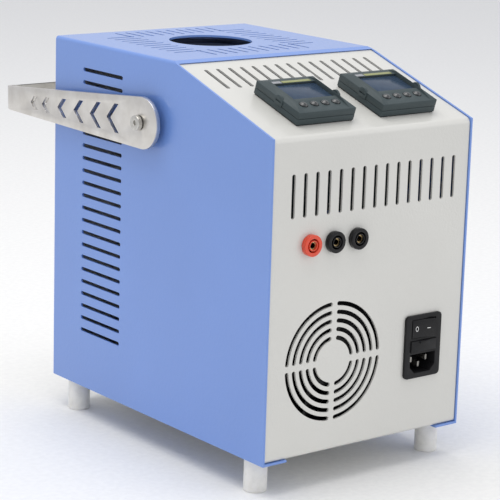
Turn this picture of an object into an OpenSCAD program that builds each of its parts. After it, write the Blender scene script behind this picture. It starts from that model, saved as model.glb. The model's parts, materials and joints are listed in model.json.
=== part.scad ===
// Dry block heater: a bent-sheet case on four feet, with a stainless carrying handle, two
// plug-in temperature controllers, three 4 mm sockets, a cooling fan, a mains inlet module
// with its switch and fuses, and a lagged heating core under the round hole in the top.
// X runs across the case, Y from front to back, Z up from the bench.
// The origin is midway between the four feet, on the bench.

/* [Case] */
// Width of the case
case_w = 174; // [165:1:240]
// Depth of the case, front to back
case_d = 254; // [240:1:320]
// Height of the case without its feet
case_h = 254; // [230:1:340]
// Depth of the sloping control panel, front to back
slope_run = 110; // [100:1:130]
// Rise of the sloping control panel
slope_rise = 36; // [26:1:48]
// Thickness of the cover and panel sheets
sheet_t = 1.5; // [1.2:0.1:2]
// Outside radius of the cover's two long top bends
cover_bend_r = 2.5; // [2.2:0.1:4]
// Outside radius of the bend between the front and the sloping panel
panel_bend_r = 4.5; // [3:0.1:6]
// Outside radius of the bends along the base
base_bend_r = 2.6; // [2.2:0.1:4]
// From the front's outer face to the weld that joins the front sheet to the base
base_seam = 8; // [6:0.5:10]
// Width of the cover's flanges under the case
flange_w = 20; // [18:1:26]
// Setback of the front and rear sheets from the cover's edges
panel_inset = 0.8; // [0.4:0.1:1.5]
// Gap between the cover's sides and the sheets between them
panel_gap = 0.4; // [0.2:0.1:0.8]
// Length of the cover's lip at the top of the slope
lip_len = 4; // [3:0.5:6]
// Height of the cover's lip and the base's flange behind the rear panel
rear_lip_h = 14; // [12:0.5:20]
// Diameter of the screws that hold the rear panel
rear_screw_d = 3; // [2.5:0.5:4]

/* [Feet] */
// Height of the feet
foot_h = 23; // [15:1:35]
// Diameter of the feet
foot_d = 16; // [14:1:18]
// Distance of the foot axes from the front and the back of the case
foot_inset_y = 20; // [12:1:40]
// Diameter of the foot screws
foot_screw_d = 5; // [4:0.5:6]
// Length of thread in each foot
foot_thread = 14; // [8:1:14]

/* [Vents] */
// Distance between neighbouring slots of the front and the slope
panel_slot_pitch = 10; // [8:0.5:14]
// Width of the slots of the front and the slope
panel_slot_w = 3; // [1.5:0.1:3]
// Offset of the front's row of slots to the right of the middle
panel_slot_shift = 1.7; // [-4:0.1:4]
// Plain sheet beside the outermost slot axes of the front and the slope
panel_slot_margin = 16; // [14:0.5:30]
// Length of the front slots
front_slot_len = 29.4; // [15:0.1:40]
// Middle of the front slots, below the bend
front_slot_drop = 38.4; // [30:0.1:45]
// Gap between the controllers and the slots of the slope
slope_slot_near = 9.9; // [6:0.1:14]
// Gap between the slots of the slope and the top of the slope
slope_slot_far = 15.2; // [10:0.1:20]
// Length of the side slots
side_slot_len = 49.5; // [30:0.5:80]
// Width of the side slots
side_slot_w = 2.8; // [1.5:0.1:3]
// Distance between neighbouring side slots
side_slot_pitch = 9.1; // [7:0.1:14]
// Lowest side slot, above the underside of the case
side_slot_low = 43.3; // [30:0.1:60]
// Plain sheet between the highest side slot and the top
side_slot_top = 19.5; // [14:0.1:40]
// Middle of the side slots, ahead of the back of the case
side_slot_back = 61; // [50:1:80]
// Number of slots in each of the four groups round the well
top_slot_n = 10; // [4:1:10]
// Distance between neighbouring top slots
top_slot_pitch = 9.1; // [7:0.1:9.5]
// Width of the top slots
top_slot_w = 2; // [1.5:0.1:3]
// Length of the top slots
top_slot_len = 23.5; // [10:0.5:24]
// Distance from the well's axis to the near ends of the top slots
top_slot_near = 38.5; // [36:0.5:40]

/* [Handle] */
// Thickness of the handle strip
handle_t = 3; // [2:0.5:4]
// Gap between the case and the inside of the handle
handle_gap = 5; // [4:0.5:10]
// Pivot axis, below the top of the case
pivot_drop = 45.2; // [40:0.1:60]
// Pivot axis, ahead of the back of the case
pivot_back = 117.1; // [100:0.1:130]
// Distance from the pivot axis to the outside of the crossbar
handle_reach = 183.1; // [170:0.1:200]
// Radius of the rounded nose round the pivot
nose_r = 17.9; // [14:0.1:20]
// Nose centre, ahead of the pivot axis
nose_ahead = 3.3; // [0:0.1:5]
// Width of the strip at the crossbar
crossbar_w = 16; // [12:0.5:20]
// Outside radius of the two bends beside the crossbar
handle_bend_r = 18; // [12:0.5:24]
// Radius of the far corners of the handle, seen from the side
handle_corner_r = 7; // [4:0.5:9]
// Droop of the handle below level as it stands
handle_droop = 2.35; // [0:0.05:5]
// Distance from the pivot axis to the point of the largest chevron
chevron_start = 39.3; // [30:0.1:45]
// Distance between neighbouring chevrons
chevron_pitch = 21; // [16:0.5:22]
// Distance between the last two chevrons
chevron_last_pitch = 15.3; // [12:0.1:21]
// Width of the chevron strokes along the strip
chevron_stroke = 5; // [3:0.5:6]
// Metal left above and below the chevrons
chevron_margin = 5.5; // [4:0.1:7]
// Diameter of the pivot screws
pivot_screw_d = 6; // [5:0.5:6]
// Diameter of the bushing neck that the handle turns on
pivot_neck_d = 8; // [7.5:0.5:9]
// Diameter of the bushing flange between the case and the handle
pivot_flange_d = 16; // [12:0.5:20]

/* [Controllers] */
// Side of the square controller fronts
controller_w = 48; // [40:0.5:50]
// Distance between the two controller axes
controller_pitch = 72; // [62:0.5:78]
// Offset of the pair to the right of the middle
controller_shift = 3; // [-4:0.5:4]
// Gap between the bend and the controllers' front edges
controller_near = 14; // [10:0.5:16]
// Thickness of the rubber gasket under each controller
gasket_t = 0.8; // [0.5:0.1:1.5]
// Thickness of the sleeve's flange
sleeve_flange_t = 3.9; // [2:0.1:6]
// Step from the edge of the sleeve's flange in to the sleeve behind the panel
sleeve_step = 1.7; // [1.5:0.1:3]
// Wall of the sleeve
sleeve_wall = 1.3; // [1:0.1:2]
// Depth of the sleeve behind the panel
sleeve_depth = 80; // [60:1:90]
// Height of the bezel's upright edge
bezel_edge_h = 4.6; // [3:0.1:6]
// Rise of the bezel's sloping cheeks above its upright edge
cheek_h = 2.9; // [1.5:0.1:4]
// Width of the bezel's sloping cheeks
cheek_w = 5; // [4:0.1:6]
// Length of the cheeks' slope down to the front edge
cheek_front_len = 13; // [6:0.1:16]
// Length of the cheeks' slope down to the back edge
cheek_back_len = 8; // [4:0.1:10]
// Length of the button deck, from the front edge to the display
deck_len = 17.2; // [13:0.1:18]
// Rise of the button deck and of the band from the edges to the display
deck_rise = 1; // [0.4:0.1:1.6]
// Length of the plain band between the display and the back edge
band_len = 8.6; // [4:0.1:10]
// Distance from the front edge to the middle of the buttons
button_row = 9.6; // [8:0.1:10]
// Diameter of the controller buttons
button_d = 5.8; // [4:0.1:6.5]
// Deck left between the outer buttons and the cheeks
button_margin = 2.4; // [1:0.1:3]
// Press depth of the controller buttons
button_travel = 0.6; // [0.3:0.1:0.8]

/* [Sockets] */
// Height of the sockets above the underside of the case
socket_z = 145.7; // [130:0.1:150]
// Leftmost socket axis, from the left side of the case
socket_side = 34; // [25:0.5:40]
// Distance between neighbouring sockets
socket_pitch = 20; // [18:0.5:24]
// Diameter of the socket heads
socket_head_d = 14.5; // [12:0.1:16]
// Thickness of the socket heads
socket_head_t = 4; // [2:0.1:5]
// Bore of the socket contacts
contact_bore_d = 4; // [4:0.1:4.2]
// Depth of the sockets behind the panel face
socket_depth = 24; // [20:0.5:26]

/* [Fan] */
// Side of the square fan frame
fan_w = 92; // [80:1:92]
// Depth of the fan
fan_t = 25; // [20:1:25]
// Fan axis, above the underside of the case
fan_z = 63.5; // [58:0.1:70]
// Fan axis, from the left side of the case
fan_side = 57.5; // [50:0.5:60]
// Distance between the fan's mounting holes
fan_hole_pitch = 82.5; // [71.5:0.5:82.5]
// Number of slotted rings in the fan grille
ring_n = 5; // [2:1:5]
// Centreline radius of the smallest ring
ring_r = 16.1; // [12:0.1:17]
// Distance between neighbouring rings
ring_pitch = 5.85; // [4.5:0.05:5.9]
// Width of the ring slots
ring_w = 3; // [1.5:0.1:3]
// Width of the four spokes between the ring slots
spoke_w = 3.8; // [2:0.1:6]
// Number of fan blades
blade_n = 7; // [5:1:9]

/* [Mains inlet] */
// Width of the inlet module's flange
inlet_w = 32.4; // [30:0.1:36]
// Height of the inlet module's flange
inlet_h = 44.7; // [43:0.1:50]
// Thickness of the inlet module's flange
inlet_t = 2; // [1.5:0.1:3]
// Axis of the inlet module, from the right side of the case
inlet_side = 37; // [32:0.5:40]
// Middle of the inlet module, above the underside of the case
inlet_z = 62.7; // [50:0.1:80]
// Depth of the inlet module behind the panel face
inlet_depth = 30; // [28:1:40]
// Swing of the rocker each way from its middle
rocker_swing = 8; // [5:0.5:9]

/* [Heating core] */
// Diameter of the round hole in the cover
well_hole_d = 60; // [50:1:66]
// Axis of the well, ahead of the back of the case
well_back = 70; // [66:1:80]
// Diameter of the heating block
block_d = 66; // [62:1:70]
// Height of the heating block
block_h = 150; // [120:1:160]
// Top of the heating block, below the top of the cover
block_drop = 14; // [12:0.5:24]
// Bore of the heating block
block_bore_d = 40; // [34:0.5:42]
// Depth of the block's bore
block_bore_depth = 130; // [100:1:140]
// Clearance all round the removable insert
insert_gap = 0.1; // [0.05:0.01:0.1]
// Top of the insert, below the top of the block
insert_drop = 2; // [0:0.5:6]
// Radius of the circle that the wells stand on
well_ring_r = 11; // [10:0.1:11.5]
// Depth of the wells in the insert
well_depth = 110; // [60:1:120]
// Diameter of the cartridge heaters
heater_d = 6.5; // [5:0.1:8]
// Length of the cartridge heaters
heater_len = 100; // [60:1:110]
// Diameter of the temperature probes
probe_d = 3; // [2:0.1:4]
// Outside diameter of the can round the lagging
can_d = 112; // [100:1:114]
// Wall of the can
can_t = 1; // [0.8:0.1:1.5]
// Height of the can's standoffs
standoff_h = 25; // [15:1:35]
// Diameter of the studs on the can's standoffs
standoff_stud_d = 4; // [3:0.5:5]
// Thickness of the collar on top of the block
collar_t = 8; // [4:0.5:9]

/* [Power parts] */
// Height of the heat sink
sink_h = 34; // [20:1:40]
// Width of the heat sink
sink_w = 60; // [50:1:70]
// Length of the heat sink
sink_len = 70; // [60:1:80]
// Gap between the fan and the heat sink
sink_gap = 8; // [4:0.5:12]
// Length of the terminal block
terminal_len = 60; // [40:1:70]

/* [Hidden] */
$fn = 64;
eps = 0.01;
loose = 0.3;
snug = 0.1;
screw_gap = 0.2;
thread_gap = 0.05;
running = 0.05;

// Overall places worked out from the sizes above
front_y = -case_d / 2;
back_y = case_d / 2;
slope_a = atan(slope_rise / slope_run);
slope_len = sqrt(slope_run * slope_run + slope_rise * slope_rise);
front_h = case_h - slope_rise;
panel_y = front_y + panel_inset;
bend_z = front_h - panel_inset * (1 - sin(slope_a)) / cos(slope_a);
sheet_w = case_w - 2 * sheet_t - 2 * panel_gap;
rear_y = back_y - panel_inset;
rear_flange_y = rear_y - sheet_t;
seam_y = panel_y + base_seam;
base_top = 2 * sheet_t;
slope_end = slope_len - lip_len - 0.8;

side_slot_n = floor((case_h - side_slot_top - side_slot_low) / side_slot_pitch + eps) + 1;
panel_slot_n = floor((case_w - 2 * panel_slot_margin) / panel_slot_pitch + eps) + 1;
controller_s = controller_near + controller_w / 2;
slope_slot_start = controller_near + controller_w + slope_slot_near;
slope_slot_len = slope_len - slope_slot_far - slope_slot_start;

pivot_y = back_y - pivot_back;
pivot_z = case_h - pivot_drop;
handle_half = case_w / 2 + handle_gap + handle_t;
arm_len = handle_reach + nose_ahead;
taper = asin(nose_r / sqrt(pow(arm_len, 2) + pow(crossbar_w / 2, 2)))
    - atan(crossbar_w / 2 / arm_len);
screw_seat = handle_half + loose;
pivot_head_d = 1.75 * pivot_screw_d;
pivot_head_h = 0.55 * pivot_screw_d;
washer_d = 2 * pivot_screw_d;
washer_t = 1.6;
nut_t = 0.83 * pivot_screw_d;

flange_top = gasket_t + sleeve_flange_t;
bezel_base = flange_top + loose;
bezel_shoulder = bezel_base + bezel_edge_h;
bezel_top = bezel_shoulder + cheek_h;
sleeve_w = controller_w - 2 * sleeve_step;
sleeve_in = sleeve_w - 2 * sleeve_wall;
module_w = sleeve_in - 2 * loose;
face_w = controller_w - 2 * cheek_w;
deck_y = -controller_w / 2 + button_row;
deck_z = bezel_shoulder + deck_rise * button_row / deck_len;
button_pitch = (face_w - button_d - 2 * button_margin) / 3;
window_front = -controller_w / 2 + deck_len;
window_back = controller_w / 2 - band_len;
display_t = 1.6;
display_top = bezel_shoulder - 0.3;
clip_t = 5;
ear_y = -2;

socket_in_r = 3.6;
contact_r = contact_bore_d / 2 + 0.8;
socket_body_d = socket_head_d - 2.4;
socket_bore_r = socket_body_d / 2 - 1.4;

fan_x = fan_side - case_w / 2;
fan_front = panel_inset + sheet_t;
fan_bore_d = fan_w - 4;
hub_d = 0.4 * fan_w;
stud_d = 4;

inlet_x = case_w / 2 - inlet_side;
inlet_body_w = inlet_w - 5;
inlet_body_h = inlet_h - 3;
rocker_win_w = 22;
rocker_win_h = 13.4;
rocker_y = inlet_body_h / 2 - 1.5 - rocker_win_h / 2;
rocker_half = rocker_win_w / 2 - 1.4;
rocker_pivot_z = -3.3;
rocker_valley = inlet_t + 0.2 - rocker_pivot_z;
rocker_pin_r = 1.2;
drawer_w = 22.6;
drawer_h = 7.6;
drawer_y = rocker_y - rocker_win_h / 2 - 1.5 - loose - drawer_h / 2;
drawer_len = 22;
fuse_d = 5;
fuse_len = 20;
recess_w = 23;
recess_h = 13.6;
recess_depth = 16;
recess_y = drawer_y - drawer_h / 2 - loose - 1.5 - recess_h / 2;

well_y = back_y - well_back;
block_top = case_h - block_drop;
block_bottom = block_top - block_h;
insert_len = block_bore_depth - insert_drop;
can_bottom = base_top + standoff_h;
can_top = block_top + collar_t;
can_in_r = can_d / 2 - can_t;
heater_ring_r = (block_bore_d + block_d) / 4;
well_sizes = [10.5, 8.5, 6.5, 6.5];

sink_y = panel_y + sheet_t + fan_t + sink_gap + sink_len / 2;
relay_w = 45;
relay_len = 58;
relay_h = 22;

SHEET_BLUE = [0.43, 0.57, 0.85];
SHEET_WHITE = [0.84, 0.84, 0.82];
SLATE = [0.28, 0.32, 0.33];
BLACK = [0.08, 0.08, 0.09];
STEEL = [0.78, 0.77, 0.74];
BRASS = [0.78, 0.63, 0.32];
COPPER = [0.72, 0.45, 0.30];
ALLOY = [0.66, 0.68, 0.70];

// Frames: the case's underside, a point on the front panel, on the slope, at the pivot
module on_underside() {
    translate([0, 0, foot_h]) children();
}

module on_front(x, z) {
    on_underside() translate([x, panel_y, z]) rotate([90, 0, 0]) children();
}

module on_slope(x, s) {
    on_underside() translate([x, panel_y, bend_z]) rotate([slope_a, 0, 0])
        translate([0, s, 0]) children();
}

module on_pivot() {
    on_underside() translate([0, pivot_y, pivot_z]) rotate([-handle_droop, 0, 0]) children();
}

module on_well() {
    on_underside() translate([0, well_y, 0]) children();
}

// An outline in Y and Z, drawn out along X about the middle
module along_x(w) {
    rotate([90, 0, 90]) linear_extrude(w, center = true) children();
}

// A cylinder along X, both ways from the middle
module rod_x(d, w) {
    rotate([0, 90, 0]) cylinder(d = d, h = w, center = true);
}

// A slot cutter with round ends, its length along X and its cut along Z
module slot(len, w, depth) {
    cube([len - w, w, depth], center = true);
    for (side = [-1, 1]) translate([side * (len - w) / 2, 0, 0])
        cylinder(d = w, h = depth, center = true);
}

// A plate with round corners, centred, standing on Z = 0
module plate(w, h, r, t) {
    translate([-w / 2 + r, -h / 2, 0]) cube([w - 2 * r, h, t]);
    translate([-w / 2, -h / 2 + r, 0]) cube([w, h - 2 * r, t]);
    for (sx = [-1, 1], sy = [-1, 1]) translate([sx * (w / 2 - r), sy * (h / 2 - r), 0])
        cylinder(r = r, h = t);
}

module tube(r_out, r_in, h) {
    difference() {
        cylinder(r = r_out, h = h);
        translate([0, 0, -1]) cylinder(r = r_in, h = h + 2);
    }
}

// A block centred in X and Y, from z0 up to z1
module block(w, h, z0, z1) {
    translate([-w / 2, -h / 2, z0]) cube([w, h, z1 - z0]);
}

// A screw along Z: round head above Z = 0, shank below, hex socket in the head
module screw(d, head_d, head_h, len) {
    difference() {
        union() {
            cylinder(d = head_d, h = head_h);
            translate([0, 0, -len]) cylinder(d = d, h = len + eps);
        }
        translate([0, 0, head_h * 0.4]) cylinder(d = d * 0.66, h = head_h, $fn = 6);
    }
}

module hex_nut(d, across, t) {
    difference() {
        cylinder(d = across / cos(30), h = t, $fn = 6);
        translate([0, 0, -1]) cylinder(d = d + 2 * thread_gap, h = t + 2);
    }
}

// Case

module cover_bar(inset, r) {
    half = case_w / 2 - inset;
    top = case_h - inset;
    translate([-half, front_y - inset, inset]) cube([2 * half, case_d + 2 * inset, top - r - inset]);
    translate([-half + r, front_y - inset, inset])
        cube([2 * (half - r), case_d + 2 * inset, top - inset]);
    for (side = [-1, 1]) translate([side * (half - r), 0, top - r]) rotate([90, 0, 0])
        cylinder(r = r, h = case_d + 2 * inset, center = true);
}

module cover_shell() {
    slope_top_y = front_y + slope_run;
    difference() {
        cover_bar(0, cover_bend_r);
        cover_bar(sheet_t, cover_bend_r - sheet_t);
        block(case_w - 2 * flange_w, case_d + 2, -1, sheet_t + 1);
        along_x(case_w + 2) polygon([[front_y - 10, front_h - 10 * tan(slope_a)],
            [slope_top_y, case_h], [slope_top_y, case_h + 1], [front_y - 10, case_h + 1]]);
    }
}

module cover_lips() {
    rear_lip_w = case_w - 2 * cover_bend_r - 2;
    translate([0, front_y, front_h]) rotate([slope_a, 0, 0])
        translate([-case_w / 2 + sheet_t - eps, slope_len - lip_len, -sheet_t])
            cube([case_w - 2 * sheet_t + 2 * eps, lip_len, sheet_t]);
    translate([-rear_lip_w / 2, rear_flange_y - sheet_t, case_h - rear_lip_h])
        cube([rear_lip_w, sheet_t, rear_lip_h - sheet_t / 2]);
}

module top_slots() {
    translate([0, well_y, case_h]) for (turn = [0:90:270]) rotate([0, 0, turn])
        for (i = [0:top_slot_n - 1])
            translate([(i - (top_slot_n - 1) / 2) * top_slot_pitch,
                -top_slot_near - top_slot_len / 2, 0]) rotate([0, 0, 90]) slot(top_slot_len, top_slot_w, 4 * sheet_t);
}

module side_slots() {
    for (i = [0:side_slot_n - 1])
        translate([0, back_y - side_slot_back, side_slot_low + i * side_slot_pitch])
            rotate([0, 90, 0]) rotate([0, 0, 90]) slot(side_slot_len, side_slot_w, case_w + 2);
}

module cover() {
    color(SHEET_BLUE) on_underside() difference() {
        union() {
            cover_shell();
            cover_lips();
        }
        top_slots();
        side_slots();
        translate([0, well_y, case_h - 2 * sheet_t]) cylinder(d = well_hole_d, h = 4 * sheet_t);
        translate([0, pivot_y, pivot_z]) rod_x(pivot_screw_d + 2 * screw_gap, case_w + 2);
        at_feet() translate([0, 0, -1]) cylinder(d = foot_screw_d + 2 * screw_gap, h = sheet_t + 2);
        at_rear_screws([1]) rod_y(rear_screw_d + 2 * snug);
    }
}

// Points along a bend in the Y-Z plane
function arc(centre, r, start, end) = [for (i = [0:12])
    centre + r * [cos(start + (end - start) * i / 12), sin(start + (end - start) * i / 12)]];

function slope_point(s, out) = [panel_y + s * cos(slope_a) - out * sin(slope_a),
    bend_z + s * sin(slope_a) + out * cos(slope_a)];

// The front sheet: slope, front and a short piece of base up to the seam, outside first
module front_sheet() {
    tangent = panel_bend_r * tan((90 - slope_a) / 2);
    top = [panel_y + panel_bend_r, bend_z - tangent];
    low = [panel_y + base_bend_r, sheet_t + base_bend_r];
    along_x(sheet_w) polygon(concat(
        [slope_point(slope_end, 0)],
        arc(top, panel_bend_r, 90 + slope_a, 180),
        arc(low, base_bend_r, 180, 270),
        [[seam_y, sheet_t], [seam_y, 2 * sheet_t]],
        arc(low, base_bend_r - sheet_t, 270, 180),
        arc(top, panel_bend_r - sheet_t, 180, 90 + slope_a),
        [slope_point(slope_end, -sheet_t)]));
}

// The base sheet: from the welded seam to a short flange behind, outside first
module base_sheet() {
    rear = [rear_flange_y - base_bend_r, sheet_t + base_bend_r];
    along_x(sheet_w) polygon(concat(
        [[seam_y, sheet_t]],
        arc(rear, base_bend_r, 270, 360),
        [[rear_flange_y, sheet_t + rear_lip_h], [rear_flange_y - sheet_t, sheet_t + rear_lip_h]],
        arc(rear, base_bend_r - sheet_t, 360, 270),
        [[seam_y, 2 * sheet_t]]));
}

// Ring slots with round ends, which are a hair narrower so that they only cross the end faces
module grille_rings() {
    for (i = [0:ring_n - 1], turn = [0:90:270]) {
        r = ring_r + i * ring_pitch;
        half = asin((spoke_w + ring_w) / 2 / r);
        rotate([0, 0, turn + half]) {
            translate([0, 0, -2 * sheet_t]) rotate_extrude(angle = 90 - 2 * half)
                translate([r - ring_w / 2, 0]) square([ring_w, 4 * sheet_t]);
            for (end = [0, 90 - 2 * half]) rotate([0, 0, end]) translate([r, 0, 0])
                cylinder(d = ring_w - 2 * eps, h = 4 * sheet_t, center = true);
        }
    }
}

module panel_slot_row(len, depth) {
    for (i = [0:panel_slot_n - 1])
        translate([(i - (panel_slot_n - 1) / 2) * panel_slot_pitch, 0, 0])
            rotate([0, 0, 90]) slot(len, panel_slot_w, depth);
}

module front_panel() {
    cut = sleeve_w + 2 * screw_gap;
    color(SHEET_WHITE) difference() {
        on_underside() front_sheet();
        on_front(panel_slot_shift, bend_z - front_slot_drop) panel_slot_row(front_slot_len, 4 * sheet_t);
        on_slope(0, slope_slot_start + slope_slot_len / 2)
            panel_slot_row(slope_slot_len, 4 * sheet_t);
        on_front(fan_x, fan_z) grille_rings();
        for (i = [0:2]) at_socket(i)
            cylinder(d = socket_body_d + 2 * snug, h = 4 * sheet_t, center = true);
        on_front(inlet_x, inlet_z)
            block(inlet_body_w + 2 * screw_gap, inlet_body_h + 2 * screw_gap, -2 * sheet_t, 2 * sheet_t);
        for (side = [-1, 1]) at_controller(side) block(cut, cut, -2 * sheet_t, 2 * sheet_t);
    }
}

module base_tray() {
    color(SHEET_WHITE) on_underside() difference() {
        base_sheet();
        at_feet() cylinder(d = foot_screw_d + 2 * screw_gap, h = 2 * base_top);
        at_rear_screws([-1]) rod_y(rear_screw_d + 2 * snug);
        at_standoffs() cylinder(d = standoff_stud_d + 2 * screw_gap, h = 2 * base_top);
    }
}

module rod_y(d) {
    rotate([90, 0, 0]) cylinder(d = d, h = 8 * sheet_t, center = true);
}

// Four screw places behind the case: level 1 is the top pair, level -1 the bottom pair
module at_rear_screws(levels) {
    low = sheet_t + rear_lip_h / 2 + 1;
    high = case_h - rear_lip_h / 2 - 0.5;
    for (side = [-1, 1], level = levels)
        translate([side * (sheet_w / 2 - 12), rear_y, level > 0 ? high : low]) children();
}

module rear_panel() {
    bottom = 2 * sheet_t;
    top = case_h - sheet_t - panel_gap;
    color(SHEET_WHITE) on_underside() difference() {
        translate([-sheet_w / 2, rear_flange_y, bottom]) cube([sheet_w, sheet_t, top - bottom]);
        at_rear_screws([-1, 1]) rod_y(rear_screw_d + 2 * snug);
    }
}

module rear_panel_screws() {
    color(STEEL) on_underside() at_rear_screws([-1, 1]) rotate([-90, 0, 0])
        screw(rear_screw_d, 2 * rear_screw_d, 2, 4 * sheet_t);
}

// Feet

module at_feet() {
    for (sx = [-1, 1], sy = [-1, 1])
        translate([sx * (case_w - flange_w) / 2, sy * (case_d / 2 - foot_inset_y), 0]) children();
}

module feet() {
    color([0.93, 0.93, 0.92]) at_feet() difference() {
        cylinder(d = foot_d, h = foot_h);
        translate([0, 0, foot_h - foot_thread])
            cylinder(d = foot_screw_d + 2 * thread_gap, h = foot_thread + 1);
    }
}

module foot_screws() {
    color(STEEL) on_underside() at_feet() translate([0, 0, base_top])
        screw(foot_screw_d, 1.9 * foot_screw_d, 0.55 * foot_screw_d, base_top + foot_thread - 1);
}

// Handle

function arm_half(y) = nose_r / cos(taper) - (y + nose_ahead) * tan(taper);
function chevron_y(i) = chevron_start + min(i, 4) * chevron_pitch + (i > 4 ? chevron_last_pitch : 0);

module bail_block(half, reach, r) {
    back = nose_r + nose_ahead + 5;
    h = 3 * nose_r;
    translate([-half, -back, -h / 2]) cube([2 * half, back + reach - r, h]);
    translate([-half + r, -back, -h / 2]) cube([2 * (half - r), back + reach, h]);
    for (side = [-1, 1]) translate([side * (half - r), reach - r, 0])
        cylinder(r = r, h = h, center = true);
}

module arm_outline() {
    y0 = -nose_ahead + nose_r * sin(taper);
    y1 = handle_reach + 0.3;
    corner = [y1 - handle_corner_r, arm_half(y1 - handle_corner_r) - handle_corner_r / cos(taper)];
    translate([0, -nose_ahead, 0]) rod_x(2 * nose_r, 2 * handle_half + 2);
    along_x(2 * handle_half + 2) polygon(concat(
        [[y0, nose_r * cos(taper)], [y0, -nose_r * cos(taper)]],
        arc([corner[0], -corner[1]], handle_corner_r, taper - 90, 0),
        arc(corner, handle_corner_r, 0, 90 - taper)));
}

module chevron(tip, h) {
    s = chevron_stroke;
    polygon([[tip, 0], [tip - h / 2, h / 2], [tip - h / 2 - s, h / 2], [tip - s, 0],
        [tip - h / 2 - s, -h / 2], [tip - h / 2, -h / 2]]);
}

module handle_bail() {
    color(STEEL) on_pivot() difference() {
        intersection() {
            bail_block(handle_half, handle_reach, handle_bend_r);
            arm_outline();
        }
        bail_block(handle_half - handle_t, handle_reach - handle_t, handle_bend_r - handle_t);
        for (i = [0:5]) along_x(2 * handle_half + 2)
            chevron(chevron_y(i), 2 * (arm_half(chevron_y(i)) - chevron_margin));
        rod_x(pivot_neck_d + 2 * running, 2 * handle_half + 2);
    }
}

// The two pivot places, with Z pointing out of the case from its middle plane
module at_pivots() {
    for (side = [-1, 1]) on_pivot() rotate([0, side * 90, 0]) children();
}

module handle_screws() {
    color(STEEL) at_pivots() translate([0, 0, screw_seat])
        screw(pivot_screw_d, pivot_head_d, pivot_head_h,
            screw_seat - case_w / 2 + sheet_t + washer_t + nut_t + 2);
}

module handle_bushings() {
    flange_end = case_w / 2 + handle_gap - loose;
    color([0.2, 0.2, 0.21]) at_pivots() difference() {
        union() {
            translate([0, 0, case_w / 2]) cylinder(d = pivot_flange_d, h = flange_end - case_w / 2);
            translate([0, 0, case_w / 2]) cylinder(d = pivot_neck_d, h = screw_seat - case_w / 2);
        }
        translate([0, 0, case_w / 2 - 1]) cylinder(d = pivot_screw_d + 2 * thread_gap, h = 20);
    }
}

module handle_washers() {
    color(STEEL) at_pivots() translate([0, 0, case_w / 2 - sheet_t - washer_t])
        tube(washer_d / 2, pivot_screw_d / 2 + screw_gap, washer_t);
}

module handle_nuts() {
    color(STEEL) at_pivots() translate([0, 0, case_w / 2 - sheet_t - washer_t - nut_t])
        hex_nut(pivot_screw_d, 1.67 * pivot_screw_d, nut_t);
}

// Controllers

module at_controller(side) {
    on_slope(controller_shift + side * controller_pitch / 2, controller_s) children();
}

module controller_gasket(side) {
    color(BLACK) at_controller(side) difference() {
        block(controller_w - 1, controller_w - 1, 0, gasket_t);
        block(sleeve_w + 2 * snug, sleeve_w + 2 * snug, -1, gasket_t + 1);
    }
}

// A square tube with a flange in front of the panel and a terminal plate at the back
module controller_sleeve(side) {
    color(SLATE) at_controller(side) difference() {
        union() {
            block(controller_w, controller_w, gasket_t, flange_top);
            block(sleeve_w, sleeve_w, -sleeve_depth, flange_top);
        }
        block(sleeve_in, sleeve_in, -sleeve_depth + 3, flange_top + 1);
    }
    color(BLACK) at_controller(side) for (row = [-1, 1]) difference() {
        translate([0, row * sleeve_w / 4, 0])
            block(sleeve_w - 6, 9, -sleeve_depth - 8, -sleeve_depth + eps);
        for (i = [-2:2]) translate([i * 7, row * sleeve_w / 4, -sleeve_depth - 9])
            cylinder(d = 3.5, h = 6);
    }
}

module controller_clip(side) {
    color(BLACK) at_controller(side) difference() {
        block(sleeve_w + 9, sleeve_w + 9, -sheet_t - clip_t, -sheet_t);
        block(sleeve_w + 2 * snug, sleeve_w + 2 * snug, -sheet_t - clip_t - 1, 1);
    }
}

// The plug-in module: a front frame that carries two circuit boards and a transformer
module controller_module(side) {
    len = sleeve_depth - 8;
    color([0.16, 0.35, 0.22]) at_controller(side) {
        block(module_w, module_w, bezel_base - 4, bezel_base);
        for (row = [-1, 1]) translate([0, row * (module_w / 2 - 4), 0])
            block(module_w - 2, 1.6, -len, bezel_base - 4 + eps);
        translate([0, -module_w / 2 + 14, 0]) block(26, 19, -len + 12, -len + 40);
    }
}

// An outline with upright edges, which slopes up over each end to a level top
function crown(front_run, back_run) = [[-controller_w / 2, bezel_base],
    [controller_w / 2, bezel_base], [controller_w / 2, bezel_shoulder],
    [controller_w / 2 - back_run, bezel_top], [-controller_w / 2 + front_run, bezel_top],
    [-controller_w / 2, bezel_shoulder]];

module bezel_solid() {
    intersection() {
        along_x(controller_w) polygon(crown(cheek_front_len, cheek_back_len));
        rotate([90, 0, 0]) linear_extrude(controller_w, center = true)
            polygon(crown(cheek_w, cheek_w));
    }
}

// What lies low between the cheeks: the button deck, the display's window and the band
module face_cut() {
    half = controller_w / 2;
    ridge = bezel_shoulder + deck_rise;
    along_x(face_w) polygon([[-half, bezel_shoulder], [window_front, ridge],
        [window_front, bezel_base - 1], [window_back, bezel_base - 1], [window_back, ridge],
        [half, bezel_shoulder], [half, bezel_top + 1], [-half, bezel_top + 1]]);
}

// The latch ears on the sides of the bezel, which a screwdriver in their slots springs open
module latch_ears() {
    ear_d = 8.6;
    ear_t = 1.8;
    for (side = [-1, 1]) difference() {
        translate([side * (controller_w / 2 - 0.1), ear_y, bezel_shoulder - 2.2]) rod_x(ear_d, ear_t);
        translate([side * (controller_w / 2 + ear_t / 2), ear_y, bezel_shoulder - 1.9])
            cube([ear_t, 5.6, 1.1], center = true);
    }
}

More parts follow.
